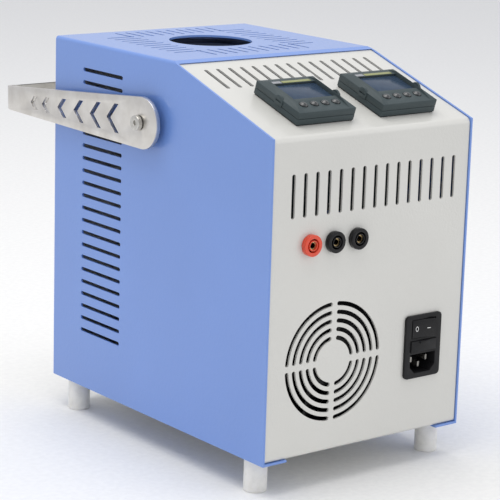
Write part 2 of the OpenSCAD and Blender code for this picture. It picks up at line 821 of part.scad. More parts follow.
// The bezel: two sloping cheeks beside the button deck, the display's window and a plain band
module controller_bezel(side) {
    color(SLATE) at_controller(side) difference() {
        union() {
            difference() {
                bezel_solid();
                face_cut();
            }
            intersection() {
                latch_ears();
                block(controller_w + 20, controller_w, bezel_base, bezel_top + 1);
            }
        }
        for (i = [1:4]) at_button(i) translate([0, 0, bezel_base - 1])
            cylinder(d = button_d + 2 * loose, h = bezel_edge_h + cheek_h + 2);
    }
}

module controller_display(side) {
    color([0.24, 0.33, 0.45]) at_controller(side)
        translate([0, (window_front + window_back) / 2, 0])
            block(face_w - 2 * snug, window_back - window_front - 2 * snug,
                display_top - display_t, display_top);
}

module at_button(i) {
    translate([(i - 2.5) * button_pitch, deck_y, 0]) children();
}

// A plunger with a domed top
module controller_button(side, i) {
    bottom = bezel_base + button_travel + loose;
    rim = deck_z + 0.2;
    dome_h = 1.5;
    dome_r = (pow(button_d / 2, 2) + dome_h * dome_h) / (2 * dome_h);
    color(BLACK) at_controller(side) at_button(i) intersection() {
        translate([0, 0, bottom]) cylinder(d = button_d, h = rim + dome_h - bottom + 1);
        union() {
            translate([0, 0, rim + dome_h - dome_r]) sphere(r = dome_r);
            translate([0, 0, bottom]) cylinder(d = button_d, h = rim - bottom);
        }
    }
}

// Sockets

module at_socket(i) {
    on_front(socket_side - case_w / 2 + i * socket_pitch, socket_z) children();
}

// An insulated socket: outer shell, ring-shaped gap for a plug's shroud, inner post
module socket_shell() {
    difference() {
        union() {
            cylinder(d = socket_head_d, h = socket_head_t);
            translate([0, 0, -socket_depth]) cylinder(d = socket_body_d, h = socket_depth + eps);
        }
        translate([0, 0, -socket_depth + 4])
            tube(socket_bore_r, socket_in_r, socket_depth + socket_head_t);
        translate([0, 0, -socket_depth - 1])
            cylinder(r = contact_r + thread_gap, h = socket_depth + socket_head_t + 2);
    }
}

module socket_red() {
    color([0.80, 0.20, 0.15]) at_socket(0) socket_shell();
}

module sockets_black() {
    color(BLACK) for (i = [1, 2]) at_socket(i) socket_shell();
}

module socket_contacts() {
    tail = 7;
    color(BRASS) for (i = [0:2]) at_socket(i) difference() {
        translate([0, 0, -socket_depth - tail]) cylinder(r = contact_r, h = socket_depth + tail + 2.5);
        translate([0, 0, -socket_depth + 4]) cylinder(d = contact_bore_d, h = socket_depth + 10);
    }
}

module socket_nuts() {
    color(STEEL) for (i = [0:2]) at_socket(i) translate([0, 0, -sheet_t - 2.5])
        hex_nut(socket_body_d, socket_body_d + 3.5, 2.5);
}

// Fan

// Fan frame of reference: Z points to the front, Z = 0 on the inside of the front sheet
module on_fan() {
    on_front(fan_x, fan_z) translate([0, 0, -sheet_t]) children();
}

module at_fan_holes() {
    for (sx = [-1, 1], sy = [-1, 1])
        translate([sx * fan_hole_pitch / 2, sy * fan_hole_pitch / 2, 0]) children();
}

module fan_frame() {
    color(BLACK) on_fan() {
        difference() {
            translate([0, 0, -fan_t]) plate(fan_w, fan_w, 4, fan_t);
            translate([0, 0, -fan_t - 1]) cylinder(d = fan_bore_d, h = fan_t + 2);
            at_fan_holes() translate([0, 0, -fan_t - 1])
                cylinder(d = stud_d + 2 * screw_gap, h = fan_t + 2);
        }
        translate([0, 0, -fan_t]) cylinder(d = hub_d, h = 2);
        for (turn = [45:90:315]) rotate([0, 0, turn])
            translate([hub_d / 2 - 1, -1.5, -fan_t]) cube([fan_bore_d / 2 - hub_d / 2 + 1.5, 3, 2]);
    }
}

// The motor core, with the bearing that the rotor's shaft runs in
module fan_stator() {
    color(COPPER) on_fan() difference() {
        translate([0, 0, -fan_t + 2]) cylinder(d = hub_d - 8, h = fan_t - 9);
        translate([0, 0, -fan_t + 4]) cylinder(d = 3 + 2 * running, h = fan_t);
    }
}

module fan_rotor() {
    cup_top = -2;
    cup_bottom = -fan_t + 2.8;
    color(BLACK) on_fan() {
        difference() {
            translate([0, 0, cup_bottom]) cylinder(d = hub_d, h = cup_top - cup_bottom);
            translate([0, 0, cup_bottom - 1]) cylinder(d = hub_d - 4, h = cup_top - cup_bottom - 1);
        }
        translate([0, 0, -fan_t + 4.5]) cylinder(d = 3, h = cup_top + fan_t - 5);
        intersection() {
            translate([0, 0, cup_bottom])
                tube(fan_bore_d / 2 - 1, hub_d / 2 - 0.5, cup_top - 1 - cup_bottom);
            for (i = [0:blade_n - 1]) rotate([0, 0, i * 360 / blade_n])
                translate([fan_bore_d / 4, 0, (cup_top + cup_bottom) / 2]) rotate([52, 0, 0])
                    cube([fan_bore_d / 2 + 10, 1.6, 40], center = true);
        }
    }
}

module fan_studs() {
    color(STEEL) on_fan() at_fan_holes() translate([0, 0, -fan_t - 6])
        cylinder(d = stud_d, h = fan_t + 6);
}

module fan_nuts() {
    color(STEEL) on_fan() at_fan_holes() translate([0, 0, -fan_t - 3.2]) hex_nut(stud_d, 7, 3.2);
}

// Mains inlet module

module on_inlet() {
    on_front(inlet_x, inlet_z) children();
}

// The recess outline: a rectangle with its two lower corners cut off
module recess_outline(grow) {
    w = recess_w / 2 + grow;
    h = recess_h / 2 + grow;
    c = 4.5;
    polygon([[-w, h], [-w, -h + c], [-w + c, -h], [w - c, -h], [w, -h + c], [w, h]]);
}

module inlet_housing() {
    color(BLACK) on_inlet() difference() {
        union() {
            plate(inlet_w, inlet_h, 3, inlet_t);
            block(inlet_body_w, inlet_body_h, -inlet_depth, eps);
        }
        translate([0, rocker_y, 0]) block(rocker_win_w, rocker_win_h, -14, inlet_t + 1);
        translate([0, rocker_y, rocker_pivot_z]) rotate([90, 0, 0])
            cylinder(r = rocker_pin_r + running, h = rocker_win_h + 2, center = true);
        translate([0, drawer_y, 0])
            block(drawer_w + 2 * loose, drawer_h + 2 * loose, -drawer_len - 1, inlet_t + 1);
        translate([0, recess_y, -recess_depth]) linear_extrude(recess_depth + inlet_t + 1)
            recess_outline(0);
        at_inlet_pins() block(2.1, 4.1, -inlet_depth - 1, 0);
    }
}

// Line and neutral side by side, earth midway and lower
module at_inlet_pins() {
    for (p = [[-7, 2], [7, 2], [0, -2]]) translate([p[0], recess_y + p[1], 0]) children();
}

module inlet_pins() {
    color(STEEL) on_inlet() at_inlet_pins() block(2, 4, -inlet_depth - 8, -2);
}

// The rocker stands with its left half pressed, and turns about an upright pin
module rocker() {
    r = rocker_half;
    tip = rocker_valley + r * tan(rocker_swing);
    h = rocker_win_h - 2 * loose;
    color(BLACK) on_inlet() translate([0, rocker_y, rocker_pivot_z])
        rotate([0, -rocker_swing, 0]) rotate([90, 0, 0]) {
            linear_extrude(h, center = true) polygon([[-r, tip], [0, rocker_valley], [r, tip],
                [r, tip - 3.5], [3, -2.5], [-3, -2.5], [-r, tip - 3.5]]);
            cylinder(r = rocker_pin_r, h = rocker_win_h + 1.6, center = true);
        }
}

module fuse_drawer() {
    pocket = fuse_d + 0.6;
    color(BLACK) on_inlet() translate([0, drawer_y, 0]) difference() {
        union() {
            block(drawer_w, drawer_h, -drawer_len, inlet_t + 0.8);
            translate([0, drawer_h / 2 - 1, 0]) block(8, 1.6, inlet_t, inlet_t + 1.8);
        }
        for (side = [-1, 1]) translate([side * drawer_w / 4, 1.2, 0])
            block(pocket, drawer_h, -fuse_len - 1.4, -0.8);
    }
}

module fuses() {
    color(ALLOY) on_inlet() for (side = [-1, 1])
        translate([side * drawer_w / 4, drawer_y + 1.2 - drawer_h / 2 + fuse_d / 2, -fuse_len - 1.1])
            cylinder(d = fuse_d, h = fuse_len);
}

// Heating core

module at_block_holes(first, step) {
    for (turn = [first:step:359]) rotate([0, 0, turn]) translate([heater_ring_r, 0, block_bottom])
        children();
}

module heating_block() {
    color(ALLOY) on_well() difference() {
        translate([0, 0, block_bottom]) cylinder(d = block_d, h = block_h);
        translate([0, 0, block_top - block_bore_depth])
            cylinder(d = block_bore_d, h = block_bore_depth + 1);
        at_block_holes(45, 90) translate([0, 0, -1])
            cylinder(d = heater_d + 2 * thread_gap, h = heater_len + 1.5);
        at_block_holes(0, 180) translate([0, 0, -1])
            cylinder(d = probe_d + 2 * thread_gap, h = heater_len + 1.5);
    }
}

module at_wells() {
    for (i = [0:3]) rotate([0, 0, 45 + 90 * i]) translate([well_ring_r, 0, block_top - insert_drop])
        children(i);
}

module well_bore(i) {
    translate([0, 0, -well_depth]) cylinder(d = well_sizes[i], h = well_depth + 1);
}

module insert_block() {
    color(ALLOY) on_well() difference() {
        translate([0, 0, block_top - block_bore_depth])
            cylinder(d = block_bore_d - 2 * insert_gap, h = insert_len);
        at_wells() {
            well_bore(0);
            well_bore(1);
            well_bore(2);
            well_bore(3);
        }
        translate([0, 0, block_top - insert_drop - 12]) cylinder(d = 3.3, h = 13);
    }
}

module cartridge_heaters() {
    color(STEEL) on_well() at_block_holes(45, 90) cylinder(d = heater_d, h = heater_len);
}

module temperature_probes() {
    color(STEEL) on_well() at_block_holes(0, 180) cylinder(d = probe_d, h = heater_len);
}

module block_lagging() {
    color([0.86, 0.84, 0.78]) on_well() translate([0, 0, block_bottom])
        tube(can_in_r, block_d / 2, block_h);
}

module base_lagging() {
    color([0.86, 0.84, 0.78]) on_well() translate([0, 0, can_bottom + can_t])
        cylinder(r = can_in_r, h = block_bottom - can_bottom - can_t);
}

module well_collar() {
    color([0.15, 0.15, 0.16]) on_well() translate([0, 0, block_top])
        tube(can_in_r, well_hole_d / 2 - 1, collar_t);
}

module at_standoffs() {
    for (turn = [90:120:330]) translate([0, well_y, 0]) rotate([0, 0, turn])
        translate([can_d / 2 - 14, 0, 0]) children();
}

module core_can() {
    color(STEEL) on_underside() difference() {
        translate([0, well_y, can_bottom]) cylinder(d = can_d, h = can_top - can_bottom);
        translate([0, well_y, can_bottom + can_t]) cylinder(r = can_in_r, h = can_top);
    }
}

// Pillars from the base to the can, each with a threaded stud through the base
module can_standoffs() {
    color(BRASS) on_underside() at_standoffs() {
        translate([0, 0, base_top]) cylinder(d = 8, h = standoff_h, $fn = 6);
        translate([0, 0, sheet_t]) cylinder(d = standoff_stud_d, h = 2 * sheet_t);
    }
}

module thermal_cutout() {
    color([0.30, 0.22, 0.16]) on_well() difference() {
        translate([0, -can_d / 2 + 4, (block_top + block_bottom) / 2]) rotate([90, 0, 0]) {
            cylinder(d = 16, h = 12);
            for (side = [-1, 1]) translate([side * 4, 0, 0]) block(0.8, 6, 11, 20);
        }
        cylinder(d = can_d, h = case_h);
    }
}

// Power parts

module on_sink() {
    on_underside() translate([fan_x, sink_y, base_top]) children();
}

module heat_sink() {
    fin_n = 9;
    fin_t = 2;
    color(ALLOY) on_sink() {
        block(sink_w, sink_len, sink_h - 5, sink_h);
        for (i = [0:fin_n - 1])
            translate([-sink_w / 2 + fin_t / 2 + i * (sink_w - fin_t) / (fin_n - 1), 0, 0])
                block(fin_t, sink_len, 0, sink_h - 5 + eps);
    }
}

module solid_state_relay() {
    color([0.10, 0.10, 0.11]) on_sink() difference() {
        block(relay_w, relay_len, sink_h, sink_h + relay_h);
        for (end = [-1, 1]) {
            translate([0, end * (relay_len / 2 - 5), 0]) block(9, 12, sink_h + 5, sink_h + relay_h + 1);
            translate([0, end * (relay_len / 2 - 5), sink_h - 1])
                cylinder(d = stud_d + 2 * screw_gap, h = relay_h);
            for (side = [-1, 1]) translate([side * 13, end * (relay_len / 2 - 5), 0])
                block(10, 12, sink_h + relay_h - 7, sink_h + relay_h + 1);
        }
    }
}

module relay_screws() {
    color(STEEL) on_sink() for (end = [-1, 1])
        translate([0, end * (relay_len / 2 - 5), sink_h + 5]) screw(stud_d, 7.5, 3, 5);
}

module terminal_block() {
    color([0.85, 0.85, 0.82]) on_underside()
        translate([inlet_x, sink_y - sink_len / 2 + terminal_len / 2, base_top]) difference() {
            block(22, terminal_len, 0, 18);
            for (i = [-2:2], side = [-1, 1]) translate([side * 6, i * terminal_len / 6, 8])
                cylinder(d = 5, h = 11);
        }
}

cover();
front_panel();
base_tray();
rear_panel();
rear_panel_screws();
feet();
foot_screws();
handle_bail();
handle_screws();
handle_bushings();
handle_washers();
handle_nuts();
controller_gasket(-1);  // left_gasket
controller_sleeve(-1);  // left_sleeve
controller_clip(-1);  // left_clip
controller_module(-1);  // left_module
controller_bezel(-1);  // left_bezel
controller_display(-1);  // left_display
controller_button(-1, 1);  // left_button_1
controller_button(-1, 2);  // left_button_2
controller_button(-1, 3);  // left_button_3
controller_button(-1, 4);  // left_button_4
controller_gasket(1);  // right_gasket
controller_sleeve(1);  // right_sleeve
controller_clip(1);  // right_clip
controller_module(1);  // right_module
controller_bezel(1);  // right_bezel
controller_display(1);  // right_display
controller_button(1, 1);  // right_button_1
controller_button(1, 2);  // right_button_2
controller_button(1, 3);  // right_button_3
controller_button(1, 4);  // right_button_4
socket_red();
sockets_black();
socket_contacts();
socket_nuts();
fan_frame();
fan_stator();
fan_rotor();
fan_studs();
fan_nuts();
inlet_housing();
inlet_pins();
rocker();
fuse_drawer();
fuses();
heating_block();
insert_block();
cartridge_heaters();
temperature_probes();
block_lagging();
base_lagging();
well_collar();
core_can();
can_standoffs();
thermal_cutout();
heat_sink();
solid_state_relay();
relay_screws();
terminal_block();
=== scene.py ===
import json
import math

import bpy
from mathutils import Matrix, Vector

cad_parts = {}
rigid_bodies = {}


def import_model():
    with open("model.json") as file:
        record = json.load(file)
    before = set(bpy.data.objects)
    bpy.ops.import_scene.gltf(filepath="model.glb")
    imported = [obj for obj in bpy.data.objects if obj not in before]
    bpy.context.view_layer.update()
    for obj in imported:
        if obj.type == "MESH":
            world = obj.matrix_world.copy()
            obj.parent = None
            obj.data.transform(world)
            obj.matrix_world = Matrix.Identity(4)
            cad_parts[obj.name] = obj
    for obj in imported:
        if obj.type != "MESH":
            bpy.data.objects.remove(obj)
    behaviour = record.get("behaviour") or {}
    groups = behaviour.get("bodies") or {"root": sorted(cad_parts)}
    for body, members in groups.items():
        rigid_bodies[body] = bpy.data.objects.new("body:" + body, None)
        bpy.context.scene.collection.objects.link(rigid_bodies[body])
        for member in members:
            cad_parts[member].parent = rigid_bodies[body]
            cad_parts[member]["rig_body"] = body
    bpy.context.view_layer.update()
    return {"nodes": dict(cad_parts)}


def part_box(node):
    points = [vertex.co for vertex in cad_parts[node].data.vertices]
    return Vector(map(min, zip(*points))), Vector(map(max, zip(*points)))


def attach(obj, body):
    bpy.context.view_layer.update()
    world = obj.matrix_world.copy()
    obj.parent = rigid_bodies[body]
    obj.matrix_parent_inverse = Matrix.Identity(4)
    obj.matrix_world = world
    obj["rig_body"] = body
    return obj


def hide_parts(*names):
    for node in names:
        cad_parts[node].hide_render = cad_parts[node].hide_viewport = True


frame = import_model()
bpy.ops.object.select_all(action="DESELECT")

# Camera. It looks slightly down on the left side and the front, from across a room,
# through a long lens.
eye = Vector((-0.8816, -1.1150, 0.4669))
turn, dip, roll = math.radians(38.238), math.radians(-13.213), math.radians(1.721)
ahead = Vector((math.cos(dip) * math.sin(turn), math.cos(dip) * math.cos(turn), math.sin(dip)))
level = ahead.cross(Vector((0, 0, 1))).normalized()
upright = level.cross(ahead)
across = level * math.cos(roll) + upright * math.sin(roll)
above = upright * math.cos(roll) - level * math.sin(roll)
lens = bpy.data.cameras.new("camera")
lens.sensor_width = 36
lens.lens = 146.83
lens.clip_end = 20
camera = bpy.data.objects.new("camera", lens)
camera.matrix_world = Matrix.Translation(eye) @ Matrix(
    (across, above, -ahead)).transposed().to_4x4()
bpy.context.scene.collection.objects.link(camera)
bpy.context.scene.camera = camera
bpy.context.scene.view_settings.view_transform = "Standard"


# Light. A big soft panel hangs over the bench towards the front left, a second one fills in
# from the right, and pale walls give the rest.
def soft_panel(name, place, target, side, watts, colour):
    lamp = bpy.data.lights.new(name, "AREA")
    lamp.shape = "SQUARE"
    lamp.size = side
    lamp.energy = watts
    lamp.color = colour
    holder = bpy.data.objects.new(name, lamp)
    holder.location = place
    holder.rotation_euler = (Vector(target) - Vector(place)).to_track_quat("-Z", "Y").to_euler()
    bpy.context.scene.collection.objects.link(holder)


soft_panel("over_bench", (-0.35, 0.05, 2.1), (0, 0, 0.1), 1.7, 25, (1, 0.985, 0.955))
soft_panel("fill_right", (1.6, -1.7, 0.9), (0, 0, 0.15), 1.4, 5.5, (1, 0.985, 0.955))
walls = bpy.data.worlds.new("walls")
walls.use_nodes = True
walls.node_tree.nodes["Background"].inputs["Color"].default_value = (0.92, 0.93, 0.97, 1)
walls.node_tree.nodes["Background"].inputs["Strength"].default_value = 0.79
bpy.context.scene.world = walls


# Floor. It is a wide sheet of white closed-cell foam with a fine pebbled skin. It does not
# belong to the object.
class Wire:
    """An output socket that takes part in arithmetic."""

    def __init__(self, paint, socket):
        self.paint = paint
        self.socket = socket

    def maths(self, operation, first, second):
        return self.paint.node("ShaderNodeMath", {"operation": operation}, {0: first, 1: second})

    def __add__(self, other):
        return self.maths("ADD", self, other)

    def __mul__(self, other):
        return self.maths("MULTIPLY", self, other)

    def __gt__(self, other):
        return self.maths("GREATER_THAN", self, other)

    def steep(self, low, high):
        """0 up to low, 1 from high, straight in between"""
        return self.paint.node("ShaderNodeMapRange", {}, {0: self, 1: low, 2: high})


class Paint:
    """A finish: a shader with its fixed values, and the nodes that vary it over the surface."""

    def __init__(self, name, colour, rough, **fixed):
        self.material = bpy.data.materials.new(name)
        self.material.use_nodes = True
        self.tree = self.material.node_tree
        self.shader = self.tree.nodes["Principled BSDF"]
        self.shader.inputs["Base Color"].default_value = (*colour, 1)
        self.shader.inputs["Roughness"].default_value = rough
        for socket, value in fixed.items():
            self.shader.inputs[socket.replace("_", " ")].default_value = value
        self.place = self.node("ShaderNodeTexCoord", {}, {}, "Object")

    def node(self, kind, settings, sockets, output=0):
        made = self.tree.nodes.new(kind)
        for setting, value in settings.items():
            setattr(made, setting, value)
        for socket, value in sockets.items():
            if isinstance(value, Wire):
                self.tree.links.new(value.socket, made.inputs[socket])
            else:
                made.inputs[socket].default_value = value
        return Wire(self, made.outputs[output])

    def feed(self, socket, wire):
        self.tree.links.new(wire.socket, self.shader.inputs[socket])

    def noise(self, size, detail=2.0, stretch=(1, 1, 1), rough=0.5):
        """Noise whose features are about that many metres across"""
        place = self.node("ShaderNodeMapping", {}, {"Vector": self.place, "Scale": stretch})
        return self.node("ShaderNodeTexNoise", {},
                         {"Vector": place, "Scale": 1 / size, "Detail": detail,
                          "Roughness": rough})

    def mix(self, share, first, second):
        first, second = (c if isinstance(c, Wire) else (*c, 1) for c in (first, second))
        return self.node("ShaderNodeMix", {"data_type": "RGBA"}, {0: share, 6: first, 7: second}, 2)

    def bump(self, height, depth, strength=1.0):
        """Relief of that many metres at most"""
        self.feed("Normal", self.node("ShaderNodeBump", {},
                                      {"Height": height, "Distance": depth, "Strength": strength}))


def shade(colour, factor):
    return tuple(c * factor for c in colour)


def only(piece):
    bpy.ops.object.select_all(action="DESELECT")
    piece.select_set(True)
    bpy.context.view_layer.objects.active = piece


def finish(piece, paint):
    piece.data.materials.clear()
    piece.data.materials.append(paint.material)


foam = Paint("white_foam", (0.83, 0.83, 0.835), 0.75)
pebbles = foam.noise(0.0045, 2.0)
foam.feed("Base Color", foam.mix(pebbles.steep(0.35, 0.7), (0.84, 0.84, 0.835), (0.88, 0.88, 0.87)))
foam.bump(pebbles, 0.0008, 0.3)
bpy.ops.mesh.primitive_plane_add(size=8, location=(0, 0, 0))
floor = bpy.context.object
floor.name = "floor"
finish(floor, foam)

# Cover. One sheet of mild steel 1.5 mm thick is laser cut and bent round the top, both sides
# and the flanges that the feet screw through, then powder coated mid blue.


def powder_coat(name, colour, rough, peel):
    paint = Paint(name, colour, rough, Coat_Weight=0.6, Coat_Roughness=0.2)
    orange_peel = paint.noise(peel, 2.0)
    cloud = paint.noise(0.11, 2.0)
    grit = paint.noise(0.0006, 1.0)
    paint.feed("Base Color", paint.mix(cloud.steep(0.3, 0.7) * 0.6 + grit * 0.25,
                                       shade(colour, 1.03), shade(colour, 0.93)))
    paint.feed("Roughness", orange_peel * 0.12 + (rough - 0.06))
    paint.bump(orange_peel + grit * 0.3, 0.00025, 0.5)
    return paint


blue_coat = powder_coat("blue_powder_coat", (0.155, 0.285, 0.68), 0.36, 0.0022)
finish(frame["nodes"]["cover"], blue_coat)

# Grey sheets. One bent sheet is the slope and the front, a second is welded to its lower edge
# as the base, and a flat one closes the back. All are powder coated warm light grey.
grey_coat = powder_coat("grey_powder_coat", (0.655, 0.65, 0.615), 0.36, 0.0018)
for node in ("front_panel", "base_tray", "rear_panel"):
    finish(frame["nodes"][node], grey_coat)


def eased(node, width, segments=2, sharp=35):
    """A copy of a CAD node with its faces joined up and its sharp edges rounded"""
    source = frame["nodes"][node]
    piece = bpy.data.objects.new(node + "_eased", source.data.copy())
    bpy.context.scene.collection.objects.link(piece)
    only(piece)
    bpy.ops.mesh.customdata_custom_splitnormals_clear()
    bpy.ops.object.mode_set(mode="EDIT")
    bpy.ops.mesh.select_all(action="SELECT")
    bpy.ops.mesh.remove_doubles(threshold=2e-6)
    bpy.ops.mesh.dissolve_limited(angle_limit=math.radians(0.5))
    bpy.ops.object.mode_set(mode="OBJECT")
    rounding = piece.modifiers.new("rounding", "BEVEL")
    rounding.width = width
    rounding.segments = segments
    rounding.limit_method = "ANGLE"
    rounding.angle_limit = math.radians(sharp)
    rounding.use_clamp_overlap = True
    bpy.ops.object.modifier_apply(modifier="rounding")
    bpy.ops.object.shade_smooth_by_angle(angle=math.radians(32))
    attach(piece, source["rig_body"])
    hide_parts(node)
    return piece


zinc = Paint("zinc_plate", (0.60, 0.59, 0.56), 0.32, Metallic=1.0)
tarnish = zinc.noise(0.003, 3.0)
zinc.feed("Base Color", zinc.mix(tarnish.steep(0.3, 0.75), (0.66, 0.65, 0.62), (0.47, 0.46, 0.43)))
zinc.feed("Roughness", tarnish * 0.2 + 0.22)
zinc.bump(zinc.noise(0.0004, 1.0), 0.00002, 0.5)
for node in ("foot_screws", "handle_washers", "handle_nuts", "socket_nuts", "fan_studs",
             "fan_nuts", "relay_screws", "fuses"):
    finish(frame["nodes"][node], zinc)
finish(eased("handle_screws", 0.0004, 3), zinc)
finish(eased("rear_panel_screws", 0.0003, 3), zinc)

# Feet. Four turned nylon pillars, milky white, are drilled and tapped for the foot screws.
nylon = Paint("milky_nylon", (0.80, 0.79, 0.76), 0.45, Subsurface_Weight=0.25,
              Subsurface_Radius=(0.004, 0.004, 0.003))
turning = nylon.noise(0.0008, 1.0, (0.05, 0.05, 1))
scuffs = nylon.noise(0.006, 3.0)
nylon.feed("Base Color", nylon.mix(scuffs.steep(0.45, 0.8), (0.82, 0.81, 0.78), (0.70, 0.69, 0.66)))
nylon.feed("Roughness", turning * 0.2 + 0.35)
nylon.bump(turning, 0.00005, 0.6)
finish(eased("feet", 0.0008, 3), nylon)

# Handle. A strip of stainless steel 3 mm thick is laser cut with its chevrons, bent twice and
# satin finished. It turns on black bushings under two button-head screws.
satin = Paint("satin_stainless", (0.70, 0.68, 0.64), 0.33, Metallic=1.0)
grain = satin.noise(0.0005, 3.0, (1, 0.06, 1))
blotch = satin.noise(0.018, 3.0, rough=0.6)
satin.feed("Base Color", satin.mix(blotch.steep(0.3, 0.7), (0.74, 0.72, 0.69), (0.60, 0.575, 0.54)))
satin.feed("Roughness", grain * 0.12 + blotch * 0.16 + 0.22)
satin.bump(grain, 0.00004, 0.4)
finish(eased("handle_bail", 0.0004, 2), satin)

black = Paint("black_moulding", (0.009, 0.009, 0.010), 0.42, Specular_IOR_Level=0.22)
spark = black.noise(0.0005, 2.0)
black.feed("Base Color", black.mix(black.noise(0.01, 2.0), (0.007, 0.007, 0.008),
                                   (0.014, 0.014, 0.015)))
black.feed("Roughness", spark * 0.2 + 0.32)
black.bump(spark, 0.00004, 0.5)
finish(eased("handle_bushings", 0.0004), black)

# Controllers. Each is a plug-in module of slate grey moulded plastic: a square sleeve through
# the panel, and a bezel with sloping cheeks round a display and four domed keys.
PANEL_SLOPE = math.atan2(36, 110)
UP_SLOPE = Vector((0, math.cos(PANEL_SLOPE), math.sin(PANEL_SLOPE)))
OFF_SLOPE = Vector((0, -math.sin(PANEL_SLOPE), math.cos(PANEL_SLOPE)))


def centre_of(node):
    low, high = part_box(node)
    return (low + high) / 2


def lie_on_slope(piece, centre, right, up, out):
    """Puts a piece made flat about the origin on the slope, beside a point of it"""
    spot = centre + Vector((right, 0, 0)) + UP_SLOPE * up + OFF_SLOPE * out
    piece.data.transform(Matrix.Translation(spot) @ Matrix.Rotation(PANEL_SLOPE, 4, "X"))


def rounded_plate(name, width, length, height, corner, edge):
    """A plate with round corners and eased edges, flat about the origin"""
    bpy.ops.mesh.primitive_cube_add(size=1)
    plate = bpy.context.object
    plate.name = name
    bpy.ops.object.mode_set(mode="EDIT")
    bpy.ops.transform.resize(value=(width, length, height))
    bpy.ops.object.mode_set(mode="OBJECT")
    for axis_picked, size, steps in (((0, 1), corner, 5), (None, edge, 2)):
        bpy.ops.object.mode_set(mode="EDIT")
        bpy.ops.mesh.select_mode(type="EDGE")
        bpy.ops.mesh.select_all(action="DESELECT")
        bpy.ops.object.mode_set(mode="OBJECT")
        for line in plate.data.edges:
            a, b = (plate.data.vertices[v].co for v in line.vertices)
            rises = abs(a.z - b.z) > height / 2
            line.select = rises if axis_picked else not rises and a.z > 0
        bpy.ops.object.mode_set(mode="EDIT")
        bpy.ops.mesh.bevel(offset=size, segments=steps, affect="EDGES")
        bpy.ops.object.mode_set(mode="OBJECT")
    bpy.ops.object.shade_smooth_by_angle(angle=math.radians(35))
    return plate


slate = Paint("slate_moulding", (0.044, 0.062, 0.066), 0.48, Specular_IOR_Level=0.28)
texture = slate.noise(0.0006, 2.0)
slate.feed("Base Color", slate.mix(slate.noise(0.012, 2.0), (0.040, 0.057, 0.061),
                                   (0.052, 0.071, 0.076)))
slate.feed("Roughness", texture * 0.2 + 0.38)
slate.bump(texture, 0.00008, 0.6)

glass = Paint("display_glass", (0.034, 0.058, 0.100), 0.22, Specular_IOR_Level=0.25)
mottle = glass.noise(0.004, 2.0)
glass.feed("Base Color", glass.mix(mottle.steep(0.3, 0.7), (0.030, 0.052, 0.092),
                                   (0.042, 0.068, 0.110)))
glass.feed("Roughness", mottle * 0.08 + 0.18)

keys = Paint("domed_keys", (0.030, 0.034, 0.036), 0.18, Coat_Weight=0.6)
wear = keys.noise(0.002, 2.0)
keys.feed("Base Color", keys.mix(wear, (0.024, 0.027, 0.029), (0.042, 0.046, 0.048)))
keys.feed("Roughness", wear * 0.12 + 0.12)

rubber = Paint("gasket_rubber", (0.012, 0.012, 0.012), 0.8)
rubber.feed("Roughness", rubber.noise(0.001, 2.0) * 0.2 + 0.7)

board = Paint("circuit_board", (0.02, 0.12, 0.05), 0.35)
tracks = board.noise(0.0018, 1.0, (1, 0.2, 1))
board.feed("Base Color", board.mix(tracks > 0.55, (0.02, 0.11, 0.05), (0.05, 0.20, 0.09)))


def band_paint(name, colour):
    paint = Paint(name, colour, 0.35)
    paint.feed("Base Color", paint.mix(paint.noise(0.003, 2.0), shade(colour, 1.05),
                                       shade(colour, 0.9)))
    return paint


grey_band = band_paint("grey_band", (0.30, 0.31, 0.33))
lime_band = band_paint("lime_band", (0.27, 0.29, 0.10))
BAND_DEPTH = 3.4e-3
BAND_THICK = 0.3e-3
BAND_UP = 13.4e-3
BAND_OUT = 1.88e-3
BAND_FALL = math.atan2(1.0, 8.6)
for side in ("left", "right"):
    middle = centre_of(side + "_display")
    finish(eased(side + "_bezel", 0.0005, 2), slate)
    finish(eased(side + "_sleeve", 0.0004, 2), slate)
    finish(eased(side + "_display", 0.0003, 2), glass)
    for name, paint, at, width in (("grey_band", grey_band, -13.1e-3, 9e-3),
                                   ("lime_band", lime_band, 4.2e-3, 24e-3)):
        band = rounded_plate(f"{side}_{name}", width, BAND_DEPTH, BAND_THICK,
                             0.3e-3, 0.08e-3)
        band.data.transform(Matrix.Rotation(-BAND_FALL, 4, "X"))
        lie_on_slope(band, middle, at, BAND_UP, BAND_OUT)
        finish(band, paint)
        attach(band, side + "_controller")
    for number in range(1, 5):
        finish(eased(f"{side}_button_{number}", 0.0002, 2, 50), keys)
    finish(frame["nodes"][side + "_gasket"], rubber)
    finish(frame["nodes"][side + "_clip"], black)
    finish(frame["nodes"][side + "_module"], board)

# Sockets. Three insulated 4 mm sockets, one red and two black, are turned from polyamide and
# held by nuts behind the panel. A brass contact sits in each post.
red = Paint("red_polyamide", (0.72, 0.060, 0.020), 0.28, Coat_Weight=0.3)
swirl = red.noise(0.004, 2.0)
red.feed("Base Color", red.mix(swirl, (0.76, 0.066, 0.022), (0.64, 0.050, 0.018)))
red.feed("Roughness", swirl * 0.15 + 0.2)
gloss_black = Paint("gloss_black", (0.005, 0.005, 0.006), 0.2, Specular_IOR_Level=0.3)
gloss_black.feed("Roughness", gloss_black.noise(0.003, 2.0) * 0.15 + 0.14)
brass = Paint("turned_brass", (0.60, 0.45, 0.22), 0.25, Metallic=1.0)
patina = brass.noise(0.002, 3.0)
brass.feed("Base Color", brass.mix(patina, (0.66, 0.50, 0.26), (0.45, 0.33, 0.16)))
brass.feed("Roughness", patina * 0.25 + 0.15)
finish(eased("socket_red", 0.0005, 3), red)
finish(eased("sockets_black", 0.0005, 3), gloss_black)
for node in ("socket_contacts", "can_standoffs"):
    finish(frame["nodes"][node], brass)

